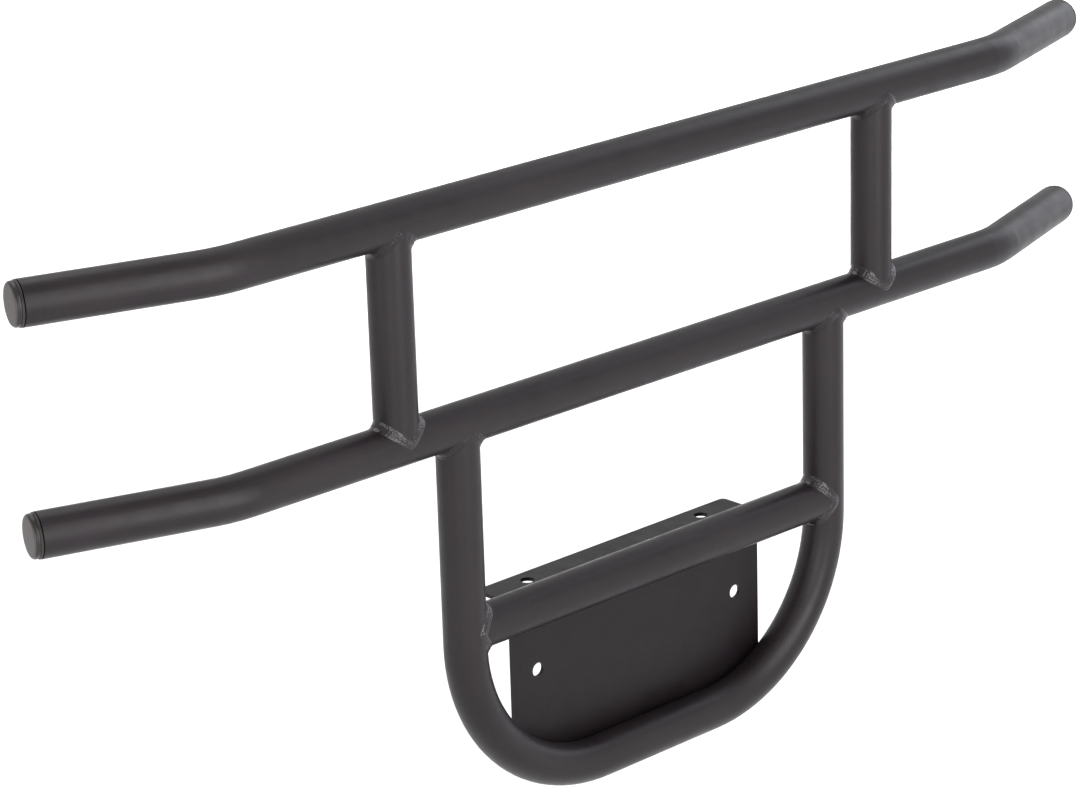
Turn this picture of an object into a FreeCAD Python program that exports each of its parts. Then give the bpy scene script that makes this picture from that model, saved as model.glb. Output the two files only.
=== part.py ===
"""Front grille guard: a welded frame of round steel tube on a bent mounting plate.

Millimetres, +Z up, +X to the right seen from in front, +Y back towards the vehicle.
The origin is midway between the two bolt holes of the plate, on its back face.
Every tube axis lies in one upright plane in front of the plate, except the swept ends.
"""
import FreeCAD, Part

import math
import os

# Tube stock
TUBE_OD = 38.1
TUBE_WALL = 2.0
TUBE_R = TUBE_OD / 2
BORE_R = TUBE_R - TUBE_WALL

# Mounting plate: one sheet bent into a tall face and a flange that runs back
PLATE_T = 3.5
PLATE_WIDTH = 310.0
PLATE_TOP = 73.0
PLATE_BOTTOM = -88.0
FLANGE_DEPTH = 44.0
PLATE_BEND_R = 5.0
PLATE_CORNER_R = 5.0
BOLT_HOLE_D = 13.0
FACE_HOLE_SPACING = 249.0
FLANGE_HOLE_SPACING = 218.0
FLANGE_HOLE_BACK = 24.0

# The tubes touch the front of the plate, so this is where their axes lie
TUBE_Y = -PLATE_T - TUBE_R

# Heights of the tube axes
LOWER_BAR_Z = 260.0
UPPER_BAR_Z = 449.0
CROSSBAR_Z = 72.0
HOOP_BOTTOM_Z = -95.0

# The two long bars: straight in the middle, swept back at both ends
BAR_BEND_X = 465.0
BAR_SWEEP = math.radians(18.0)
BAR_BEND_R = 105.0
BAR_END_LENGTH = 160.0

# Uprights between the bars, and the U-shaped hoop below them
UPRIGHT_X = 291.0
HOOP_X = 225.0
HOOP_BEND_R = 155.0

# A coped tube end stops this far from the axis of the tube that it meets
COPE_TIP = 4.0

# Plastic end cap: a bevelled head outside the tube, a finned stem inside it
CAP_HEAD_R = 18.9
CAP_HEAD_T = 7.3
CAP_SEAM = 0.3
CAP_FACE_R = 16.9
CAP_BEVEL_DROP = 2.0
CAP_STEM_R = 15.0
CAP_STEM_WALL = 2.5
CAP_STEM_LENGTH = 20.0
CAP_FIN_PITCH = 5.5
CAP_FIN_T = 1.4
CAP_FINS = 3

# Weld beads around the coped ends
BEAD_R = 5.0
BEAD_SIDE_OUT = 1.0
BEAD_FACE_IN = 3.0

# Stitch welds that hold the plate: above the crossbar, and under the plate's edge,
# where they stay flush with its back
STITCH_R = 4.0
STITCH_LENGTH = 45.0
UPPER_STITCH_X = 100.0
UPPER_STITCH_Y = -PLATE_T / 2
UPPER_STITCH_Z = PLATE_TOP + 2.0
LOWER_STITCH_X = 42.0
LOWER_STITCH_Y = -STITCH_R
LOWER_STITCH_Z = PLATE_BOTTOM - 2.5

OUT_DIR = "parts"

vec = FreeCAD.Vector


def fuse_all(shapes):
    """One solid from several that touch or overlap."""
    whole = shapes[0]
    for shape in shapes[1:]:
        whole = whole.fuse(shape)
    return whole


def rod(start, end, radius):
    """A straight round bar between two points."""
    return Part.makeCylinder(radius, (end - start).Length, start, end - start)


def bent_rod(corners, bend_r, radius):
    """A round bar through the corner points, with an arc of bend_r at each inner corner."""
    pieces = []
    start = corners[0]
    for before, corner, after in zip(corners, corners[1:], corners[2:]):
        way_in = (corner - before).normalize()
        way_out = (after - corner).normalize()
        turn = way_in.getAngle(way_out)
        reach = bend_r * math.tan(turn / 2)
        arc_start = corner - way_in * reach
        axis = way_in.cross(way_out).normalize()
        centre = arc_start + axis.cross(way_in) * bend_r
        disc = Part.Face(Part.Wire(Part.makeCircle(radius, arc_start, way_in)))
        pieces.append(rod(start, arc_start, radius))
        pieces.append(disc.revolve(centre, axis, math.degrees(turn)))
        start = corner + way_out * reach
    pieces.append(rod(start, corners[-1], radius))
    return fuse_all(pieces)


def bar_corners(height, end_length):
    """Ends and bend corners of a long bar whose axis is at the given height."""
    out = BAR_BEND_X + end_length * math.cos(BAR_SWEEP)
    back = TUBE_Y + end_length * math.sin(BAR_SWEEP)
    return [
        vec(-out, back, height),
        vec(-BAR_BEND_X, TUBE_Y, height),
        vec(BAR_BEND_X, TUBE_Y, height),
        vec(out, back, height),
    ]


def bar(height, radius):
    """A long bar as a solid round, for its own outside or bore."""
    return bent_rod(bar_corners(height, BAR_END_LENGTH), BAR_BEND_R, radius)


def hoop(top, radius):
    """The U-shaped hoop as a solid round that reaches up to the given height."""
    corners = [
        vec(-HOOP_X, TUBE_Y, top),
        vec(-HOOP_X, TUBE_Y, HOOP_BOTTOM_Z),
        vec(HOOP_X, TUBE_Y, HOOP_BOTTOM_Z),
        vec(HOOP_X, TUBE_Y, top),
    ]
    return bent_rod(corners, HOOP_BEND_R, radius)


def upright(x, radius):
    """An upright as a solid round, nearly from one bar's axis to the other's."""
    foot = vec(x, TUBE_Y, LOWER_BAR_Z + COPE_TIP)
    head = vec(x, TUBE_Y, UPPER_BAR_Z - COPE_TIP)
    return rod(foot, head, radius)


def crossbar(radius):
    """The crossbar as a solid round, nearly from one hoop leg's axis to the other's."""
    reach = HOOP_X - COPE_TIP
    return rod(vec(-reach, TUBE_Y, CROSSBAR_Z), vec(reach, TUBE_Y, CROSSBAR_Z), radius)


def plate_blank():
    """The bent sheet without its holes: face down from the bend, flange back from it."""
    half = PLATE_WIDTH / 2
    front = -PLATE_T
    back = front + FLANGE_DEPTH
    under = PLATE_TOP - PLATE_T
    inner_r = PLATE_BEND_R - PLATE_T
    centre_y = front + PLATE_BEND_R
    centre_z = PLATE_TOP - PLATE_BEND_R
    slope = math.sqrt(0.5)

    def corner(y, z):
        return vec(-half, y, z)

    outline = Part.Wire(
        [
            Part.makeLine(corner(front, PLATE_BOTTOM), corner(front, centre_z)),
            Part.Arc(
                corner(front, centre_z),
                corner(centre_y - PLATE_BEND_R * slope, centre_z + PLATE_BEND_R * slope),
                corner(centre_y, PLATE_TOP),
            ).toShape(),
            Part.makeLine(corner(centre_y, PLATE_TOP), corner(back, PLATE_TOP)),
            Part.makeLine(corner(back, PLATE_TOP), corner(back, under)),
            Part.makeLine(corner(back, under), corner(centre_y, under)),
            Part.Arc(
                corner(centre_y, under),
                corner(centre_y - inner_r * slope, centre_z + inner_r * slope),
                corner(0, centre_z),
            ).toShape(),
            Part.makeLine(corner(0, centre_z), corner(0, PLATE_BOTTOM)),
            Part.makeLine(corner(0, PLATE_BOTTOM), corner(front, PLATE_BOTTOM)),
        ]
    )
    return Part.Face(outline).extrude(vec(PLATE_WIDTH, 0, 0))


def free_corner_edges(plate):
    """The short edges at the sheet's four free corners, which are rounded over."""
    half = PLATE_WIDTH / 2
    chosen = []
    for edge in plate.Edges:
        middle = edge.CenterOfMass
        if abs(abs(middle.x) - half) > 0.01 or abs(edge.Length - PLATE_T) > 0.01:
            continue
        at_flange_end = abs(middle.y - (FLANGE_DEPTH - PLATE_T)) < 0.01
        at_foot = abs(middle.z - PLATE_BOTTOM) < 0.01
        if at_flange_end or at_foot:
            chosen.append(edge)
    return chosen


def mounting_plate():
    """The bent plate with two bolt holes in its face and two in its flange."""
    blank = plate_blank()
    plate = blank.makeFillet(PLATE_CORNER_R, free_corner_edges(blank))
    hole_r = BOLT_HOLE_D / 2
    for side in (-1, 1):
        face_x = side * FACE_HOLE_SPACING / 2
        flange_x = side * FLANGE_HOLE_SPACING / 2
        face_hole = rod(vec(face_x, -2 * PLATE_T, 0), vec(face_x, PLATE_T, 0), hole_r)
        flange_hole = rod(
            vec(flange_x, FLANGE_HOLE_BACK, PLATE_TOP - 2 * PLATE_T),
            vec(flange_x, FLANGE_HOLE_BACK, PLATE_TOP + PLATE_T),
            hole_r,
        )
        plate = plate.cut(face_hole).cut(flange_hole)
    return plate


def end_cap(height):
    """A plug cap in a bar's left end: turned about the end's axis, fins in the bore."""
    stem_in_r = CAP_STEM_R - CAP_STEM_WALL
    points = [
        (0, CAP_SEAM + CAP_HEAD_T),
        (CAP_FACE_R, CAP_SEAM + CAP_HEAD_T),
        (CAP_HEAD_R, CAP_SEAM + CAP_HEAD_T - CAP_BEVEL_DROP),
        (CAP_HEAD_R, CAP_SEAM),
        (CAP_STEM_R, CAP_SEAM),
    ]
    for number in range(1, CAP_FINS + 1):
        fin_z = -number * CAP_FIN_PITCH
        points.append((CAP_STEM_R, fin_z + CAP_FIN_T))
        points.append((BORE_R, fin_z + CAP_FIN_T))
        points.append((CAP_STEM_R, fin_z))
    points.append((CAP_STEM_R, -CAP_STEM_LENGTH))
    points.append((stem_in_r, -CAP_STEM_LENGTH))
    points.append((stem_in_r, CAP_SEAM + CAP_STEM_WALL))
    points.append((0, CAP_SEAM + CAP_STEM_WALL))
    outline = Part.makePolygon([vec(r, 0, z) for r, z in points + points[:1]])
    cap = Part.Face(outline).revolve(vec(0, 0, 0), vec(0, 0, 1), 360)
    outward = vec(-math.cos(BAR_SWEEP), math.sin(BAR_SWEEP), 0)
    place = bar_corners(height, BAR_END_LENGTH)[0]
    cap.Placement = FreeCAD.Placement(place, FreeCAD.Rotation(vec(0, 0, 1), outward))
    return cap


def half_ring(centre, along_main, along_branch):
    """A round bead along one side of the seam where two equal tubes meet."""
    middle = TUBE_R + BEAD_SIDE_OUT
    reach = TUBE_R - BEAD_FACE_IN
    side = vec(0, 1, 0)
    outward = (along_main + along_branch).normalize()
    seam = Part.Ellipse(
        centre + outward * (middle * math.sqrt(2)),
        centre + side * reach,
        centre,
    )
    quarter = math.pi / 2
    path = Part.Wire(seam.toShape(-quarter, quarter))
    start = path.Edges[0].valueAt(path.Edges[0].FirstParameter)
    heading = path.Edges[0].tangentAt(path.Edges[0].FirstParameter)
    section = Part.Wire(Part.makeCircle(BEAD_R, start, heading))
    return path.makePipeShell([section], True, False)


def bead_ring(centre, along_main, along_branch, tubes):
    """The weld all round a coped end: two half rings joined at the front and back."""
    halves = [half_ring(centre, along_main * sign, along_branch) for sign in (-1, 1)]
    joins = [
        Part.makeSphere(BEAD_R, centre + vec(0, sign * (TUBE_R - BEAD_FACE_IN), 0))
        for sign in (-1, 1)
    ]
    ring = fuse_all(halves + joins)
    for tube in tubes:
        ring = ring.cut(tube)
    return ring


def stitch(x, y, z, neighbours):
    """A short straight weld along X, against the parts beside it."""
    half = STITCH_LENGTH / 2
    bead = rod(vec(x - half, y, z), vec(x + half, y, z), STITCH_R)
    for part in neighbours:
        bead = bead.cut(part)
    return bead


def left_side(lower_round, upper_round, hoop_round, crossbar_round, plate):
    """The nodes that lie left of the middle, by name."""
    across = vec(1, 0, 0)
    up = vec(0, 0, 1)
    foot = vec(-UPRIGHT_X, TUBE_Y, LOWER_BAR_Z)
    head = vec(-UPRIGHT_X, TUBE_Y, UPPER_BAR_Z)
    hoop_top = vec(-HOOP_X, TUBE_Y, LOWER_BAR_Z)
    crossbar_end = vec(-HOOP_X, TUBE_Y, CROSSBAR_Z)
    post_round = upright(-UPRIGHT_X, TUBE_R)
    post = post_round.cut(upright(-UPRIGHT_X, BORE_R))
    return {
        "left_upright": post.cut(lower_round).cut(upper_round),
        "weld_upright_foot_left": bead_ring(foot, across, up, [post_round, lower_round]),
        "weld_upright_head_left": bead_ring(head, across, up * -1, [post_round, upper_round]),
        "weld_hoop_top_left": bead_ring(hoop_top, across, up * -1, [hoop_round, lower_round]),
        "weld_crossbar_left": bead_ring(
            crossbar_end, up, across, [crossbar_round, hoop_round, plate]
        ),
        "weld_plate_upper_left": stitch(
            -UPPER_STITCH_X, UPPER_STITCH_Y, UPPER_STITCH_Z, [crossbar_round, plate]
        ),
        "weld_plate_lower_left": stitch(
            -LOWER_STITCH_X, LOWER_STITCH_Y, LOWER_STITCH_Z, [hoop_round, plate]
        ),
        "end_cap_lower_left": end_cap(LOWER_BAR_Z),
        "end_cap_upper_left": end_cap(UPPER_BAR_Z),
    }


def build():
    """Every node of the guard, by name. The right side is the left one mirrored."""
    lower_round = bar(LOWER_BAR_Z, TUBE_R)
    upper_round = bar(UPPER_BAR_Z, TUBE_R)
    hoop_round = hoop(LOWER_BAR_Z - COPE_TIP, TUBE_R)
    crossbar_round = crossbar(TUBE_R)
    plate = mounting_plate()
    nodes = {
        "lower_bar": lower_round.cut(bar(LOWER_BAR_Z, BORE_R)),
        "upper_bar": upper_round.cut(bar(UPPER_BAR_Z, BORE_R)),
        "lower_hoop": hoop_round.cut(hoop(LOWER_BAR_Z - COPE_TIP, BORE_R)).cut(lower_round),
        "crossbar": crossbar_round.cut(crossbar(BORE_R)).cut(hoop_round),
        "mounting_plate": plate,
    }
    left = left_side(lower_round, upper_round, hoop_round, crossbar_round, plate)
    nodes.update(left)
    for name, shape in left.items():
        nodes[name.replace("left", "right")] = shape.mirror(vec(0, 0, 0), vec(1, 0, 0))
    return nodes


os.makedirs(OUT_DIR, exist_ok=True)
for node, shape in build().items():
    print(node, "solids", len(shape.Solids), "valid", shape.isValid(), "cm3", round(shape.Volume / 1000, 2))
    shape.exportStep(os.path.join(OUT_DIR, node + ".step"))
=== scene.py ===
"""Looks of the front grille guard: powder-coated tube frame, weld beads, end caps, studio.

Metres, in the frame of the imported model: +X to the right seen from in front, +Y back
towards the vehicle, +Z up. The tubes and the plate are the frame's own nodes with a
coat of paint; the weld beads and the end caps are finer pieces that stand for theirs.
"""

import math

import bmesh
import bpy
from mathutils import Matrix, Vector, noise


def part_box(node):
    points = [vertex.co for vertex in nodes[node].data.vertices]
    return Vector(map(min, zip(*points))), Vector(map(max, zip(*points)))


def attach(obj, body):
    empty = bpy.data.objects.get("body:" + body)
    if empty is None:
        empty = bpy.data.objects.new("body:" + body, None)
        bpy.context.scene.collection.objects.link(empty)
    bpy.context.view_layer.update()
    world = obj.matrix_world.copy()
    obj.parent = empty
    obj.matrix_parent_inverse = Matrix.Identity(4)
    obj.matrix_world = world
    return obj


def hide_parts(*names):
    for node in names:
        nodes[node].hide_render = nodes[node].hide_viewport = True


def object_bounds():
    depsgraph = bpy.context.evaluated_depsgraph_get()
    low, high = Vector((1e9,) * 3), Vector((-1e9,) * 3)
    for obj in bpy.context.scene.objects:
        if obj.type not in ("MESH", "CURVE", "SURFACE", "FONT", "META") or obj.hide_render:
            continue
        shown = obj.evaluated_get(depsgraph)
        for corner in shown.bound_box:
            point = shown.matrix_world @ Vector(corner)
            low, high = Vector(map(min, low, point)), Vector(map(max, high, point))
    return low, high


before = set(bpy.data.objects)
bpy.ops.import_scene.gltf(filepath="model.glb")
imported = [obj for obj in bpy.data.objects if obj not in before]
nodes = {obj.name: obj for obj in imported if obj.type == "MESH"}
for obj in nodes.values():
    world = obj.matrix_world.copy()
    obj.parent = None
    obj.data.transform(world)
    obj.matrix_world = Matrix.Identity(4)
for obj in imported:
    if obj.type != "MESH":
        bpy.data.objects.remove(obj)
cad_low, cad_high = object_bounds()

# The one body, each side's name with the sign of X there, and the tubes
BODY = "root"
SIDES = (("left", -1), ("right", 1))
TUBES = ("lower_bar", "upper_bar", "lower_hoop", "crossbar", "left_upright", "right_upright")

# Camera: where it stands, its turn, drop and roll in radians, and its lens in millimetres
CAMERA_PLACE = Vector((-2.0829, -2.1592, 1.2549))
CAMERA_TURN = 0.74064
CAMERA_DROP = 0.33004
CAMERA_ROLL = -0.0316
CAMERA_LENS = 119.53
SENSOR_WIDTH = 36.0

# Studio: even light from all round, and a floor a little below the guard
WORLD_LIGHT = 0.90
FLOOR_HALF = 12.0
FLOOR_GAP = 0.15
PAPER_TONE_SCALE = 3.0
PAPER_TOOTH_SCALE = 400.0
PAPER_TOOTH_DEPTH = 0.00005

# Softboxes of one size, all aimed at the guard. Each has its azimuth in degrees, which
# is 0 in front and grows towards the left, its height angle in degrees, its power in
# watts and its colour
WHITE = (1.0, 1.0, 1.0)
COOL = (0.865, 0.915, 1.0)
SOFTBOX_SIZE = 1.5
SOFTBOX_DISTANCE = 3.0
SOFTBOX_AIM = Vector((0.0, 0.0, 0.17))
SOFTBOXES = (
    ("front", 0, 8, 42, WHITE),
    ("front_left", 45, 8, 29, WHITE),
    ("left", 90, 8, 23, WHITE),
    ("right", 270, 8, 12.5, COOL),
    ("front_right", 315, 8, 5, WHITE),
    ("front_high", 0, 35, 28, WHITE),
    ("right_high", 270, 35, 16.5, COOL),
    ("back_high", 180, 62, 19, WHITE),
)

# A narrow light that points straight down at the floor behind the guard
WASH_PLACE = Vector((2.9, 3.3, 3.2))
WASH_SIZE = 3.0
WASH_POWER = 80.0
WASH_SPREAD = math.radians(60.0)

# Powder coat: how many patches each noise has in a metre, and the tint of its shine
CLOUD_SCALE = 9.0
PATCH_SCALE = 60.0
GRAIN_SCALE = 1500.0
SWAY_SCALE = 45.0
WAVE_SCALE = 230.0
PEEL_SCALE = 760.0
SHINE_TINT = (1.0, 0.972, 0.995, 1.0)

# Cap plastic: how many patches each noise has in a metre, how deep its dents and its
# sparkle are, how far its rubbed edges reach, and its specular level
CAP_CLOUD_SCALE = 70.0
CAP_DUST_SCALE = 340.0
CAP_DENT_SCALE = 190.0
CAP_DENT_DEPTH = 0.00008
CAP_SPARK_SCALE = 2600.0
CAP_SPARK_DEPTH = 0.00003
CAP_RUB_RADIUS = 0.0006
CAP_SHINE = 0.28

# The sheared edges of the plate, which the coat rounds. Points that are in the same
# place are joined first
EDGE_WIDTH = 0.00022
EDGE_SEGMENTS = 3
EDGE_ANGLE = math.radians(40.0)
SAME_PLACE = 1e-6

# Weld beads round the coped tube ends. A leg is the width of a bead on one tube, and
# the crown is how far the middle of the bead stands off the line between its toes.
# Drift is slow noise on a circle, with a layer of its own for each thing it varies.
# The relief is ripples that bow between the toes, lumps, and lines between passes
LEG_AT_SIDE = 0.0062
LEG_AT_FRONT = 0.0033
LEG_UNEVENNESS = 0.22
SEAM_ROUNDING = 0.0035
TOE_ROUNDING = 0.006
CROWN_AT_SIDE = -0.0012
CROWN_PROUD = 0.0009
CROWN_FLAT = 0.0003
CROWN_UNEVENNESS = 0.25
DRIFT_CIRCLE = 1.6
DRIFT_PER_SEED = 7.3
BRANCH_LAYER = 0.0
MAIN_LAYER = 40.0
CROWN_LAYER = 80.0
ROOT_DEPTH = 0.0013
RIPPLE_PITCH = 0.0026
RIPPLE_DEPTH = 0.00025
RIPPLE_BOW = 0.55
LUMP_SIZE = 0.0026
LUMP_DEPTH = 0.00034
PASS_LINES = 2.5
PASS_DEPTH = 0.00016
RING_STEPS = 400
BEAD_STEPS = 14

# Stitch welds on the plate: a blunter one keeps its full girth nearer to its ends
STITCH_RADIUS = 0.004
STITCH_PITCH = 0.003
STITCH_RIPPLE = 0.0003
STITCH_BOW = 0.5
STITCH_BLUNTNESS = 7
STITCH_TIP = 0.02
STITCH_STEPS = 120
STITCH_SIDES = 28

# End caps: a seam and a lip at the tube's end, a groove, a bevelled head with the mark
# of the gate in its face, and a finned stem in the bore
BAR_SWEEP = math.radians(18.0)
CAP_HEIGHT = 0.0076
CAP_SEAM = 0.0006
CAP_LIP_R = 0.0189
CAP_LIP = 0.0022
CAP_HEAD_R = 0.0182
CAP_FACE_R = 0.0165
CAP_BEVEL_DROP = 0.0017
CAP_GROOVE = 0.0008
CAP_EASING = 0.0011
CAP_STEM_R = 0.015
CAP_STEM_WALL = 0.0025
CAP_STEM_LENGTH = 0.020
CAP_FIN_R = 0.01705
CAP_FIN_PITCH = 0.0055
CAP_FIN_T = 0.0014
CAP_FINS = 3
GATE_R = 0.0013
GATE_SLOPE = 0.0004
GATE_DEPTH = 0.00015
CAP_CENTRE_R = 0.0003
CAP_SIDES = 96
FACE_TOLERANCE = 1e-5


# ---------------------------------------------------------------- camera and studio


def add_camera():
    """A camera turned to the right, tipped down and rolled a little."""
    ahead = Vector(
        (
            math.sin(CAMERA_TURN) * math.cos(CAMERA_DROP),
            math.cos(CAMERA_TURN) * math.cos(CAMERA_DROP),
            -math.sin(CAMERA_DROP),
        )
    )
    right = Vector((math.cos(CAMERA_TURN), -math.sin(CAMERA_TURN), 0.0))
    above = right.cross(ahead)
    across = right * math.cos(CAMERA_ROLL) + above * math.sin(CAMERA_ROLL)
    upward = above * math.cos(CAMERA_ROLL) - right * math.sin(CAMERA_ROLL)
    data = bpy.data.cameras.new("camera")
    data.lens = CAMERA_LENS
    data.sensor_width = SENSOR_WIDTH
    data.sensor_fit = "HORIZONTAL"
    camera = bpy.data.objects.new("camera", data)
    bpy.context.scene.collection.objects.link(camera)
    turn = Matrix((across, upward, -ahead)).transposed().to_4x4()
    camera.matrix_world = Matrix.Translation(CAMERA_PLACE) @ turn
    bpy.context.scene.camera = camera


def add_floor(material):
    """A pale floor below the guard, which hangs clear of it as it would on a vehicle."""
    level = cad_low[2] - FLOOR_GAP
    corners = [
        (-FLOOR_HALF, -FLOOR_HALF, level),
        (FLOOR_HALF, -FLOOR_HALF, level),
        (FLOOR_HALF, FLOOR_HALF, level),
        (-FLOOR_HALF, FLOOR_HALF, level),
    ]
    mesh = bpy.data.meshes.new("floor")
    mesh.from_pydata(corners, [], [(0, 1, 2, 3)])
    mesh.materials.append(material)
    floor = bpy.data.objects.new("floor", mesh)
    bpy.context.scene.collection.objects.link(floor)


def add_light(name, size, power, place):
    """A square area light that points straight down and isn't seen itself."""
    data = bpy.data.lights.new(name, "AREA")
    data.shape = "SQUARE"
    data.size = size
    data.energy = power
    light = bpy.data.objects.new(name, data)
    bpy.context.scene.collection.objects.link(light)
    light.location = place
    light.visible_camera = False
    return light


def add_softbox(name, azimuth, height_angle, power, colour):
    """A light that looks at the guard from the given direction."""
    turn = math.radians(azimuth)
    lift = math.radians(height_angle)
    away = Vector(
        (-math.sin(turn) * math.cos(lift), -math.cos(turn) * math.cos(lift), math.sin(lift))
    )
    place = SOFTBOX_AIM + away * SOFTBOX_DISTANCE
    light = add_light("softbox_" + name, SOFTBOX_SIZE, power, place)
    light.data.color = colour
    light.rotation_euler = away.to_track_quat("Z", "Y").to_euler()


def add_floor_wash():
    """A gridded light over the floor behind the guard, which keeps the paper white there."""
    light = add_light("floor_wash", WASH_SIZE, WASH_POWER, WASH_PLACE)
    light.data.spread = WASH_SPREAD


def add_world():
    """Even white light from all round."""
    world = bpy.data.worlds.new("studio")
    bpy.context.scene.world = world
    world.use_nodes = True
    background = world.node_tree.nodes["Background"]
    background.inputs["Color"].default_value = (1.0, 1.0, 1.0, 1.0)
    background.inputs["Strength"].default_value = WORLD_LIGHT
    bpy.context.scene.view_settings.view_transform = "Standard"


# ------------------------------------------------------------------------ materials


class Look:
    """A node material that is put together step by step."""

    def __init__(self, name):
        self.material = bpy.data.materials.new(name)
        self.material.use_nodes = True
        self.tree = self.material.node_tree
        self.shader = self.tree.nodes["Principled BSDF"]
        self.place = self.add("ShaderNodeTexCoord").outputs["Object"]

    def add(self, kind, **settings):
        """A new node of the given kind and settings."""
        node = self.tree.nodes.new(kind)
        for key, value in settings.items():
            setattr(node, key, value)
        return node

    def link(self, output, target):
        """Joins one node's output to another's input."""
        self.tree.links.new(output, target)

    def fill(self, node, values):
        """Sets a node's inputs, by name or number, or links them to outputs."""
        for key, value in values.items():
            if isinstance(value, bpy.types.NodeSocket):
                self.link(value, node.inputs[key])
            else:
                node.inputs[key].default_value = value

    def noise(self, scale, detail=2.0, roughness=0.5, distortion=0.0):
        """Noise from 0 to 1 whose patches are about 1 / scale metres wide."""
        node = self.add("ShaderNodeTexNoise")
        values = {
            "Vector": self.place,
            "Scale": scale,
            "Detail": detail,
            "Roughness": roughness,
            "Distortion": distortion,
        }
        self.fill(node, values)
        return node.outputs["Fac"]

    def remap(self, value, source, target):
        """Stretches a value from one range to another, smoothly and held at its ends."""
        node = self.add("ShaderNodeMapRange", interpolation_type="SMOOTHSTEP")
        values = {
            "Value": value,
            "From Min": source[0],
            "From Max": source[1],
            "To Min": target[0],
            "To Max": target[1],
        }
        self.fill(node, values)
        return node.outputs["Result"]

    def math(self, operation, first, second=0.0):
        """Arithmetic on two values, or on the first alone."""
        node = self.add("ShaderNodeMath", operation=operation)
        self.fill(node, {0: first, 1: second})
        return node.outputs["Value"]

    def mix(self, amount, first, second):
        """A colour between two others."""
        node = self.add("ShaderNodeMix", data_type="RGBA")
        self.fill(node, {"Factor": amount, "A": first, "B": second})
        return node.outputs["Result"]

    def bump(self, height, distance, below=None):
        """Tips the surface by a height map that is the given distance deep."""
        node = self.add("ShaderNodeBump")
        self.fill(node, {"Height": height, "Distance": distance, "Strength": 1.0})
        if below is not None:
            self.link(below, node.inputs["Normal"])
        return node.outputs["Normal"]

    def edges(self, radius):
        """Up to 1 within the radius of a sharp edge, and 0 elsewhere.

        There the surface's own normal and a rounded one part, so their cosine falls.
        """
        bevel = self.add("ShaderNodeBevel", samples=6)
        bevel.inputs["Radius"].default_value = radius
        plain = self.add("ShaderNodeNewGeometry").outputs["Normal"]
        dot = self.add("ShaderNodeVectorMath", operation="DOT_PRODUCT")
        self.fill(dot, {0: bevel.outputs["Normal"], 1: plain})
        return self.remap(dot.outputs["Value"], (0.985, 0.80), (0.0, 1.0))


def olive(level):
    """A near-neutral, slightly brown colour in linear light."""
    return (level * 1.16, level, level * 0.97, 1.0)


def powder_coat(name, level, shine, roughness, peel, edge_radius=0.0):
    """Satin charcoal powder coat: fine orange peel, cloudy film, rubbed edges.

    The pigment is a very dark warm grey whose green is about the level, in linear
    light. The shine is the specular level, the peel is the depth of the orange peel
    and the edge radius is how far the rubbed edges reach, both in metres.
    """
    look = Look(name)
    cloud = look.noise(CLOUD_SCALE, detail=3.0, roughness=0.55, distortion=0.4)
    patch = look.noise(PATCH_SCALE, detail=3.0, roughness=0.6)
    grain = look.noise(GRAIN_SCALE, detail=1.0)
    dark = (level * 1.15, level * 0.80, level * 1.00, 1.0)
    light = (level * 1.65, level * 1.20, level * 1.45, 1.0)
    fleck = (level * 3.3, level * 2.5, level * 3.0, 1.0)
    bared = (level * 4.0, level * 3.0, level * 3.4, 1.0)
    film = look.mix(look.remap(cloud, (0.30, 0.70), (0.0, 1.0)), dark, light)
    film = look.mix(look.remap(grain, (0.56, 0.74), (0.0, 0.7)), film, fleck)
    rough = look.remap(patch, (0.25, 0.75), (roughness - 0.045, roughness + 0.045))
    rough = look.math("ADD", rough, look.remap(cloud, (0.30, 0.70), (-0.03, 0.03)))
    if edge_radius:
        rub = look.edges(edge_radius)
        worn = look.math("MULTIPLY", rub, look.remap(patch, (0.30, 0.60), (0.35, 1.0)))
        film = look.mix(worn, film, bared)
        rough = look.math("SUBTRACT", rough, look.math("MULTIPLY", worn, 0.07))
    sway = look.bump(look.noise(SWAY_SCALE), peel * 5.0)
    wave = look.bump(look.noise(WAVE_SCALE, detail=1.0), peel * 2.5, below=sway)
    normal = look.bump(look.noise(PEEL_SCALE, roughness=0.6), peel, below=wave)
    look.fill(look.shader, {"Base Color": film, "Roughness": rough, "Normal": normal})
    look.shader.inputs["Specular IOR Level"].default_value = shine
    look.shader.inputs["Specular Tint"].default_value = SHINE_TINT
    return look.material


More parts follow.
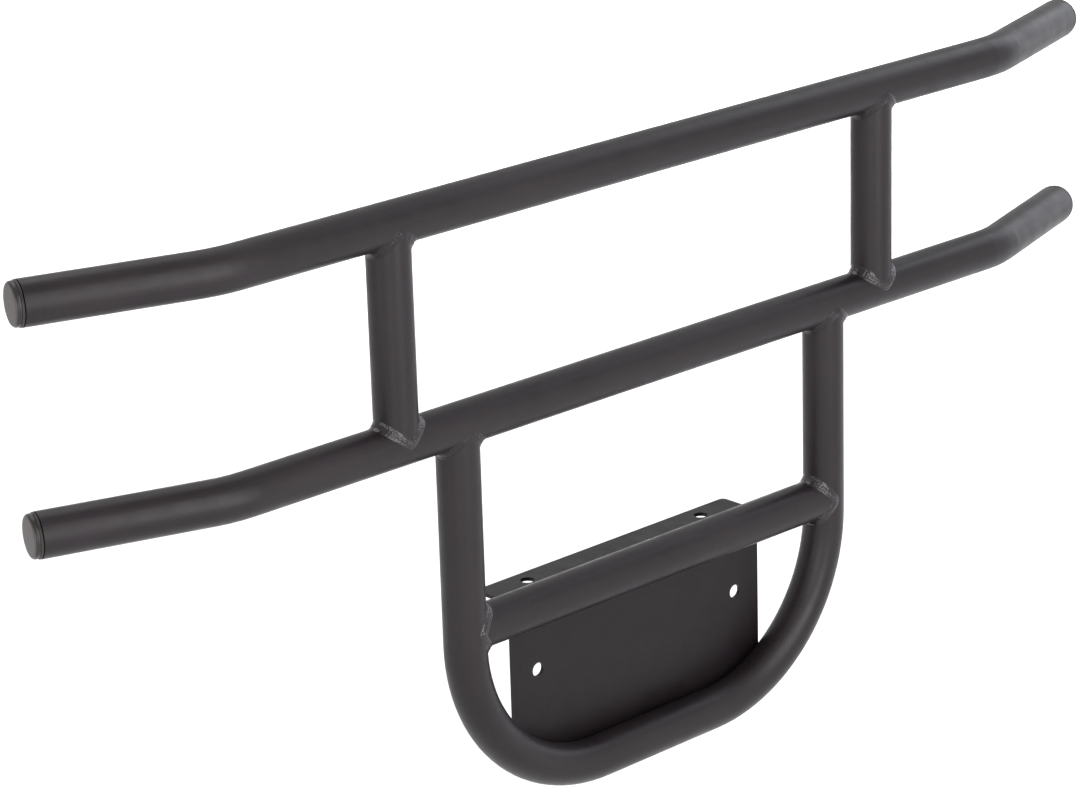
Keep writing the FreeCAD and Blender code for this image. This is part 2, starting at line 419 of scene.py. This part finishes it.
def cap_plastic(name):
    """Moulded black polyethylene: a scuffed, dusty face and smoother sides, whose colour is
    painted much darker as painted shade.

    The face is what looks along X, to within about 37 degrees. Everything that looks further
    off X gets the dark side colour, which is painted shade.
    """
    dark = olive(0.036)
    light = olive(0.052)
    dusty = olive(0.100)
    rubbed = olive(0.060)
    # The side colour is painted shade: much darker than the face, as if the cap's sides were
    # turned away from the lights
    side = olive(0.013)
    look = Look(name)
    cloud = look.noise(CAP_CLOUD_SCALE, detail=3.0, roughness=0.6)
    spark = look.noise(CAP_SPARK_SCALE)
    dust = look.noise(CAP_DUST_SCALE, detail=3.0, roughness=0.65)
    base = look.mix(look.remap(cloud, (0.3, 0.7), (0.0, 1.0)), dark, light)
    base = look.mix(look.remap(dust, (0.55, 0.78), (0.0, 0.30)), base, dusty)
    rub = look.edges(CAP_RUB_RADIUS)
    base = look.mix(look.math("MULTIPLY", rub, 0.3), base, rubbed)
    normals = look.add("ShaderNodeSeparateXYZ")
    look.link(look.add("ShaderNodeTexCoord").outputs["Normal"], normals.inputs["Vector"])
    axial = look.math("ABSOLUTE", normals.outputs["X"])
    face = look.remap(axial, (0.80, 0.93), (0.0, 1.0))
    # Painted shade: away from the face, the dark side colour takes the place of the face's
    # colour
    base = look.mix(face, side, base)
    rough = look.remap(cloud, (0.25, 0.75), (0.24, 0.34))
    rough = look.math("ADD", rough, look.math("MULTIPLY", face, 0.18))
    dents = look.bump(look.noise(CAP_DENT_SCALE), CAP_DENT_DEPTH)
    normal = look.bump(spark, CAP_SPARK_DEPTH, below=dents)
    look.fill(look.shader, {"Base Color": base, "Roughness": rough, "Normal": normal})
    look.shader.inputs["Specular IOR Level"].default_value = CAP_SHINE
    return look.material


def studio_floor(name):
    """White seamless paper with a faint tooth."""
    look = Look(name)
    tone = look.remap(look.noise(PAPER_TONE_SCALE), (0.3, 0.7), (0.895, 0.905))
    paper = look.add("ShaderNodeCombineColor")
    look.fill(paper, {"Red": tone, "Green": tone, "Blue": tone})
    look.link(paper.outputs["Color"], look.shader.inputs["Base Color"])
    tooth = look.bump(look.noise(PAPER_TOOTH_SCALE), PAPER_TOOTH_DEPTH)
    look.link(tooth, look.shader.inputs["Normal"])
    look.shader.inputs["Roughness"].default_value = 0.9
    return look.material


# --------------------------------------------------------------------------- meshes


def new_piece(name, mesh, material, stands_for):
    """Adds an object from a finished bmesh, which rides on the guard for its CAD node."""
    bmesh.ops.recalc_face_normals(mesh, faces=mesh.faces)
    for face in mesh.faces:
        face.smooth = True
    data = bpy.data.meshes.new(name)
    mesh.to_mesh(data)
    mesh.free()
    data.materials.append(material)
    piece = bpy.data.objects.new(name, data)
    bpy.context.scene.collection.objects.link(piece)
    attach(piece, BODY)
    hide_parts(stands_for)


def skin(rows, joined, sharp=()):
    """A closed surface over rows of points, each a loop of equally many points.

    When the rows are joined, the last meets the first; otherwise both ends are closed.
    The sharp columns keep an edge in the shading.
    """
    mesh = bmesh.new()
    grid = [[mesh.verts.new(point) for point in row] for row in rows]
    count = len(grid[0])
    pairs = list(zip(grid, grid[1:]))
    if joined:
        pairs.append((grid[-1], grid[0]))
    else:
        mesh.faces.new(grid[0])
        mesh.faces.new(grid[-1])
    for near, far in pairs:
        for column in range(count):
            following = (column + 1) % count
            mesh.faces.new((near[column], near[following], far[following], far[column]))
    for near, far in pairs:
        for column in sharp:
            mesh.edges.get((near[column], far[column])).smooth = False
    return mesh


def between(first, second, amount):
    """A value or point on the way from the first to the second."""
    return first + (second - first) * amount


def arch(start, pull, end, along):
    """A point along the curve from start to end that is drawn towards pull."""
    back = 1.0 - along
    return start * back**2 + pull * (2.0 * along * back) + end * along**2


def ripple(phase):
    """From 0 in the sharp valleys of a bead to 1 on its round ridges."""
    return abs(math.sin(math.pi * phase))


def seam_level(turn, radius, rounding):
    """Height of two equal tubes' seam above the main axis, and its slope.

    The turn is measured round the branch from the main tube's own direction. The
    rounding keeps the seam off the axis at the front and back, where it would be a V.
    """
    squash = (rounding / radius) ** 2
    level = math.sqrt(math.cos(turn) ** 2 * (1.0 - squash) + squash)
    slope = -(1.0 - squash) * math.cos(turn) * math.sin(turn) / level
    return radius * level, radius * slope


class WeldRing:
    """The bead all round the seam of a branch tube coped onto a main tube.

    The centre is where the tubes' axes meet, and main and branch are the directions of
    the two tubes from there. A turn is an angle round the branch, starting at main. The
    crown is the bead's own at its front and back.
    """

    def __init__(self, centre, main, branch, radius, crown, seed):
        self.centre = centre
        self.main = main
        self.branch = branch
        self.across = Vector((0.0, 1.0, 0.0))
        self.radius = radius
        self.crown = crown
        self.seed = seed

    def on_branch(self, turn, up, depth=0.0):
        """A point on the branch tube, or that deep under its surface."""
        out = self.main * math.cos(turn) + self.across * math.sin(turn)
        return self.centre + out * (self.radius - depth) + self.branch * up

    def on_main(self, turn, along, depth=0.0):
        """A point on the main tube, or that deep under its surface."""
        out = self.branch * math.cos(turn) + self.across * math.sin(turn)
        return self.centre + out * (self.radius - depth) + self.main * along

    def seam(self, turn):
        """A point on the seam of the two tubes."""
        return self.on_branch(turn, seam_level(turn, self.radius, SEAM_ROUNDING)[0])

    def drift(self, turn, layer):
        """Slow change round the bead, the same after a full turn."""
        first = DRIFT_CIRCLE * math.cos(turn)
        second = DRIFT_CIRCLE * math.sin(turn)
        return noise.noise(Vector((first, second, self.seed * DRIFT_PER_SEED + layer)))

    def leg(self, turn, layer):
        """How wide the bead is on one of the tubes."""
        width = between(LEG_AT_FRONT, LEG_AT_SIDE, math.cos(turn) ** 2)
        return width * (1.0 + LEG_UNEVENNESS * self.drift(turn, layer))

    def branch_toe(self, turn):
        """Turn and height of the bead's toe on the branch tube."""
        leg = self.leg(turn, BRANCH_LAYER)
        height, slope = seam_level(turn, self.radius, TOE_ROUNDING)
        length = math.hypot(self.radius, slope)
        around = turn - leg * slope / (length * self.radius)
        return around, height + leg * self.radius / length

    def main_toe(self, turn):
        """Turn round the main tube, and place along it, of the bead's toe there."""
        leg = self.leg(turn, MAIN_LAYER)
        open_part = math.sqrt(1.0 - (SEAM_ROUNDING / self.radius) ** 2)
        height, _ = seam_level(turn, self.radius, SEAM_ROUNDING)
        angle = math.asin(open_part * math.sin(turn))
        round_way = self.radius * open_part * math.cos(turn) * self.radius / height
        along_way = -self.radius * math.sin(turn)
        length = math.hypot(round_way, along_way)
        around = angle - leg * along_way / (length * self.radius)
        return around, self.radius * math.cos(turn) + leg * round_way / length

    def relief(self, point, phase, along):
        """How far a point of the bead's face stands up. It is 0 at both toes."""
        bow = RIPPLE_BOW * (2.0 * along - 1.0) ** 2
        height = RIPPLE_DEPTH * ripple(phase + bow)
        height += LUMP_DEPTH * noise.noise(point / LUMP_SIZE)
        height += PASS_DEPTH * math.sin(2.0 * math.pi * PASS_LINES * along)
        return height * math.sin(math.pi * along)

    def section(self, turn, phase):
        """A loop of points round the bead: its face from toe to toe, then its root."""
        upper_toe = self.branch_toe(turn)
        lower_toe = self.main_toe(turn)
        upper = self.on_branch(*upper_toe)
        lower = self.on_main(*lower_toe)
        upper_root = self.on_branch(*upper_toe, depth=ROOT_DEPTH)
        lower_root = self.on_main(*lower_toe, depth=ROOT_DEPTH)
        upper_out = (upper - upper_root).normalized()
        lower_out = (lower - lower_root).normalized()
        outward = (upper_out + lower_out).normalized()
        crown = between(self.crown, CROWN_AT_SIDE, math.cos(turn) ** 2)
        crown *= 1.0 + CROWN_UNEVENNESS * self.drift(turn, CROWN_LAYER)
        pull = (upper + lower) / 2.0 + outward * (2.0 * crown)
        row = []
        for part in range(BEAD_STEPS + 1):
            along = part / BEAD_STEPS
            point = arch(lower, pull, upper, along)
            height = self.relief(point, phase, along)
            row.append(point + between(lower_out, upper_out, along) * height)
        row.append(upper_root)
        row.append(self.seam(turn) - outward * ROOT_DEPTH)
        row.append(lower_root)
        return row

    def mesh(self):
        """The whole bead, with a whole number of even ripples along its seam."""
        turns = [2.0 * math.pi * step / RING_STEPS for step in range(RING_STEPS)]
        seam = [self.seam(turn) for turn in turns]
        spans = [(end - start).length for start, end in zip(seam, seam[1:] + seam[:1])]
        ripples = round(sum(spans) / RIPPLE_PITCH)
        rows = []
        travelled = 0.0
        for turn, span in zip(turns, spans):
            rows.append(self.section(turn, ripples * travelled / sum(spans)))
            travelled += span
        return skin(rows, True, sharp=(0, BEAD_STEPS))


def stitch_bead(low, high, centre_y, centre_z):
    """A short straight bead along X with tapering, rounded ends."""
    half = (high - low) / 2.0
    rows = []
    for step in range(STITCH_STEPS + 1):
        along = -math.cos(math.pi * step / STITCH_STEPS)
        x = (low + high) / 2.0 + half * along
        taper = max(math.sqrt(1.0 - abs(along) ** STITCH_BLUNTNESS), STITCH_TIP)
        row = []
        for side in range(STITCH_SIDES):
            angle = 2.0 * math.pi * side / STITCH_SIDES
            bow = STITCH_BOW * math.sin(angle) ** 2
            valley = 1.0 - ripple(x / STITCH_PITCH + bow)
            radius = taper * (STITCH_RADIUS - STITCH_RIPPLE * valley)
            y = centre_y + radius * math.cos(angle)
            z = centre_z + radius * math.sin(angle)
            row.append(Vector((x, y, z)))
        rows.append(row)
    return skin(rows, False)


def rounded(points, reach, steps=5):
    """An outline whose corners are eased: each is cut back by reach and curved."""
    outline = [points[0]]
    for before, corner, after in zip(points, points[1:], points[2:]):
        back = min(reach, (before - corner).length / 2.0)
        forth = min(reach, (after - corner).length / 2.0)
        start = corner + (before - corner).normalized() * back
        end = corner + (after - corner).normalized() * forth
        for step in range(steps + 1):
            outline.append(arch(start, corner, end, step / steps))
    outline.append(points[-1])
    return outline


def cap_outline():
    """Half section of an end cap: distance from the axis, height above the tube's end.

    It starts and ends a hair off the axis, so that no row of the cap shrinks to a point.
    """
    bore_r = CAP_STEM_R - CAP_STEM_WALL
    head = [
        Vector((CAP_CENTRE_R, CAP_HEIGHT - GATE_DEPTH)),
        Vector((GATE_R, CAP_HEIGHT - GATE_DEPTH)),
        Vector((GATE_R + GATE_SLOPE, CAP_HEIGHT)),
        Vector((CAP_FACE_R, CAP_HEIGHT)),
        Vector((CAP_HEAD_R, CAP_HEIGHT - CAP_BEVEL_DROP)),
        Vector((CAP_HEAD_R, CAP_LIP + CAP_GROOVE)),
        Vector((CAP_HEAD_R - CAP_GROOVE, CAP_LIP + CAP_GROOVE / 2.0)),
        Vector((CAP_LIP_R, CAP_LIP)),
        Vector((CAP_LIP_R, CAP_SEAM)),
        Vector((CAP_STEM_R, CAP_SEAM)),
    ]
    stem = []
    for number in range(1, CAP_FINS + 1):
        root = -number * CAP_FIN_PITCH
        stem.append(Vector((CAP_STEM_R, root + CAP_FIN_T)))
        stem.append(Vector((CAP_FIN_R, root + CAP_FIN_T)))
        stem.append(Vector((CAP_STEM_R, root)))
    stem.append(Vector((CAP_STEM_R, -CAP_STEM_LENGTH)))
    stem.append(Vector((bore_r, -CAP_STEM_LENGTH)))
    stem.append(Vector((bore_r, CAP_SEAM + CAP_STEM_WALL)))
    stem.append(Vector((CAP_CENTRE_R, CAP_SEAM + CAP_STEM_WALL)))
    return rounded(head + stem, CAP_EASING)


def end_cap(node):
    """A turned cap whose face lies where the CAD cap's face does."""
    points = [vertex.co for vertex in node.data.vertices]
    side = math.copysign(1.0, points[0].x)
    outward = Vector((side * math.cos(BAR_SWEEP), math.sin(BAR_SWEEP), 0.0))
    reach = max(point.dot(outward) for point in points)
    face = [point for point in points if point.dot(outward) > reach - FACE_TOLERANCE]
    lowest = Vector([min(point[axis] for point in face) for axis in range(3)])
    highest = Vector([max(point[axis] for point in face) for axis in range(3)])
    tube_end = (lowest + highest) / 2.0 - outward * CAP_HEIGHT
    upward = Vector((0.0, 0.0, 1.0))
    level = outward.cross(upward)
    rows = []
    for section in cap_outline():
        row = []
        for step in range(CAP_SIDES):
            angle = 2.0 * math.pi * step / CAP_SIDES
            spoke = level * math.cos(angle) + upward * math.sin(angle)
            row.append(tube_end + spoke * section.x + outward * section.y)
        rows.append(row)
    return skin(rows, False)


# --------------------------------------------------------------------------- pieces


def middle(name):
    """The middle of a CAD node's box."""
    low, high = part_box(name)
    return (low + high) / 2.0


def paint(names, material):
    """Puts a material on CAD nodes that are shown as they are."""
    for name in names:
        for slot in nodes[name].material_slots:
            slot.material = material


def soften_edges(name):
    """Rounds the sheared edges of a CAD node a little, as paint does."""
    weld = nodes[name].modifiers.new("join", "WELD")
    weld.merge_threshold = SAME_PLACE
    bevel = nodes[name].modifiers.new("ease", "BEVEL")
    bevel.width = EDGE_WIDTH
    bevel.segments = EDGE_SEGMENTS
    bevel.limit_method = "ANGLE"
    bevel.angle_limit = EDGE_ANGLE


def add_weld_rings(proud_paint, flush_paint):
    """Beads where the uprights, the hoop and the crossbar meet the tubes they cross."""
    low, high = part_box("left_upright")
    radius = (high.x - low.x) / 2.0
    plane_y = middle("left_upright").y
    lower_z = middle("lower_bar").z
    upper_z = middle("upper_bar").z
    crossbar_z = middle("crossbar").z
    leg_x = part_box("lower_hoop")[1].x - radius
    across = Vector((1.0, 0.0, 0.0))
    up = Vector((0.0, 0.0, 1.0))
    for number, (word, side) in enumerate(SIDES):
        post_x = middle(word + "_upright").x
        foot = Vector((post_x, plane_y, lower_z))
        head = Vector((post_x, plane_y, upper_z))
        hoop_top = Vector((side * leg_x, plane_y, lower_z))
        bar_end = Vector((side * leg_x, plane_y, crossbar_z))
        # The beads under the two bars are flatter on the left
        head_crown = CROWN_FLAT if side < 0 else CROWN_PROUD
        joints = (
            ("upright_foot_", foot, across, up, CROWN_PROUD, proud_paint),
            ("upright_head_", head, across, -up, head_crown, flush_paint),
            ("hoop_top_", hoop_top, across, -up, head_crown, flush_paint),
            ("crossbar_", bar_end, up, across * -side, CROWN_PROUD, proud_paint),
        )
        for order, (stem, centre, main, branch, crown, coat) in enumerate(joints):
            seed = number * len(joints) + order
            mesh = WeldRing(centre, main, branch, radius, crown, seed).mesh()
            joint = stem + word
            new_piece("bead_" + joint, mesh, coat, "weld_" + joint)


def add_stitches(material):
    """Short beads that hold the plate to the crossbar and to the hoop."""
    for word, _ in SIDES:
        for level in ("upper", "lower"):
            joint = "plate_" + level + "_" + word
            low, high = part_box("weld_" + joint)
            centre_z = high.z - STITCH_RADIUS if level == "upper" else low.z + STITCH_RADIUS
            mesh = stitch_bead(low.x, high.x, high.y - STITCH_RADIUS, centre_z)
            new_piece("bead_" + joint, mesh, material, "weld_" + joint)


def add_caps(material):
    """A moulded cap in each open tube end."""
    for level in ("lower", "upper"):
        for word, _ in SIDES:
            name = "end_cap_" + level + "_" + word
            mesh = end_cap(nodes[name])
            new_piece("cap_" + level + "_" + word, mesh, material, name)


add_camera()
add_world()
add_floor_wash()
add_floor(studio_floor("floor_paper"))
for softbox in SOFTBOXES:
    add_softbox(*softbox)

tube_paint = powder_coat(
    "tube_powder_coat",
    level=0.0056,
    shine=0.262,
    roughness=0.40,
    peel=0.00003,
    edge_radius=0.0005,
)
paint(TUBES, tube_paint)
plate_paint = powder_coat(
    "plate_powder_coat",
    level=0.0046,
    shine=0.185,
    roughness=0.42,
    peel=0.00003,
    edge_radius=0.0006,
)
paint(["mounting_plate"], plate_paint)
soften_edges("mounting_plate")
proud_weld_paint = powder_coat(
    "proud_weld_powder_coat", level=0.0056, shine=0.40, roughness=0.23, peel=0.00005
)
flush_weld_paint = powder_coat(
    "flush_weld_powder_coat", level=0.0054, shine=0.27, roughness=0.33, peel=0.00004
)
add_weld_rings(proud_weld_paint, flush_weld_paint)
add_stitches(proud_weld_paint)
add_caps(cap_plastic("cap_moulded_plastic"))
